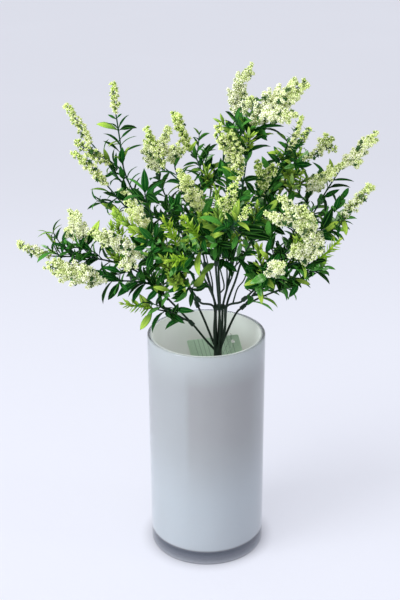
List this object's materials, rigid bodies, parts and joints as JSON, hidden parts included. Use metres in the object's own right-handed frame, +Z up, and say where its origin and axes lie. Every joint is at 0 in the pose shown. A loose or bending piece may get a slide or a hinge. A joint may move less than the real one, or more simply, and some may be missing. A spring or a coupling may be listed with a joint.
{
  "type": "artificial flowering bush in glass vase",
  "caption": "Branched artificial bush with small leaves and cream bead plumes, standing in a cased glass cylinder vase.",
  "frame": {"origin": "centre of the vase's foot, on the surface that it stands on", "axes": "+Z up along the vase's axis; -Y faces the viewer, +X is to the viewer's right"},
  "size_m": [0.353, 0.2261, 0.5101],
  "materials": {
    "clear_glass": "clear, polished, 3 mm wall with a thick foot",
    "opal_glass": "opal white, glossy",
    "stem_green": "moulded, dark green, satin",
    "leaf_green": "moulded leaves with raised midribs, semi-gloss, yellow-green at some tips",
    "cream_bud": "small round beads, matt cream with yellow-green shading",
    "new_green": "moulded bracts, bright yellow-green, semi-gloss",
    "tag_card": "thin pale grey-green card, bare, matt",
    "clear_tie": "frosted clear loop"
  },
  "bodies": {
    "root": {"vase_glass": "clear_glass", "vase_lining": "opal_glass", "bush_stems": "stem_green", "tag_card": "tag_card", "tag_tie": "clear_tie", "spray_low_left": "leaf_green", "spray_left": "leaf_green", "spray_mid_left": "leaf_green", "spray_centre_left": "leaf_green", "spray_crown": "leaf_green", "spray_front": "leaf_green", "spray_right_front": "leaf_green", "spray_right": "leaf_green", "spray_right_up": "leaf_green", "spray_back_left": "leaf_green", "spray_back": "leaf_green", "plume_far_left": "cream_bud", "plume_low_left": "cream_bud", "plume_left_upper": "cream_bud", "plume_tall_left": "cream_bud", "plume_left_bract_low": "cream_bud", "plume_left_bract_top": "cream_bud", "plume_left_bract_high": "cream_bud", "plume_mid_left": "cream_bud", "plume_left_front": "cream_bud", "plume_upper_left_a": "cream_bud", "plume_upper_left_b": "cream_bud", "plume_upper_middle": "cream_bud", "plume_middle": "cream_bud", "plume_crown_large": "cream_bud", "plume_crown_top": "cream_bud", "plume_crown_left": "cream_bud", "plume_front": "cream_bud", "plume_front_small": "cream_bud", "plume_right_large": "cream_bud", "plume_right_low": "cream_bud", "plume_far_right": "cream_bud", "plume_right_end": "cream_bud", "plume_right_pale": "cream_bud", "plume_twin_upper": "cream_bud", "plume_right_white": "cream_bud", "plume_twin_lower": "cream_bud", "plume_centre_right": "cream_bud", "plume_back_left": "cream_bud", "plume_back_far_left": "cream_bud", "plume_back": "cream_bud", "plume_back_right": "cream_bud", "plume_back_low": "cream_bud", "sprig_low_left": "new_green", "sprig_mid_left": "new_green", "sprig_front_left": "new_green", "sprig_front_top": "new_green", "sprig_right": "new_green"}
  },
  "joints": []
}
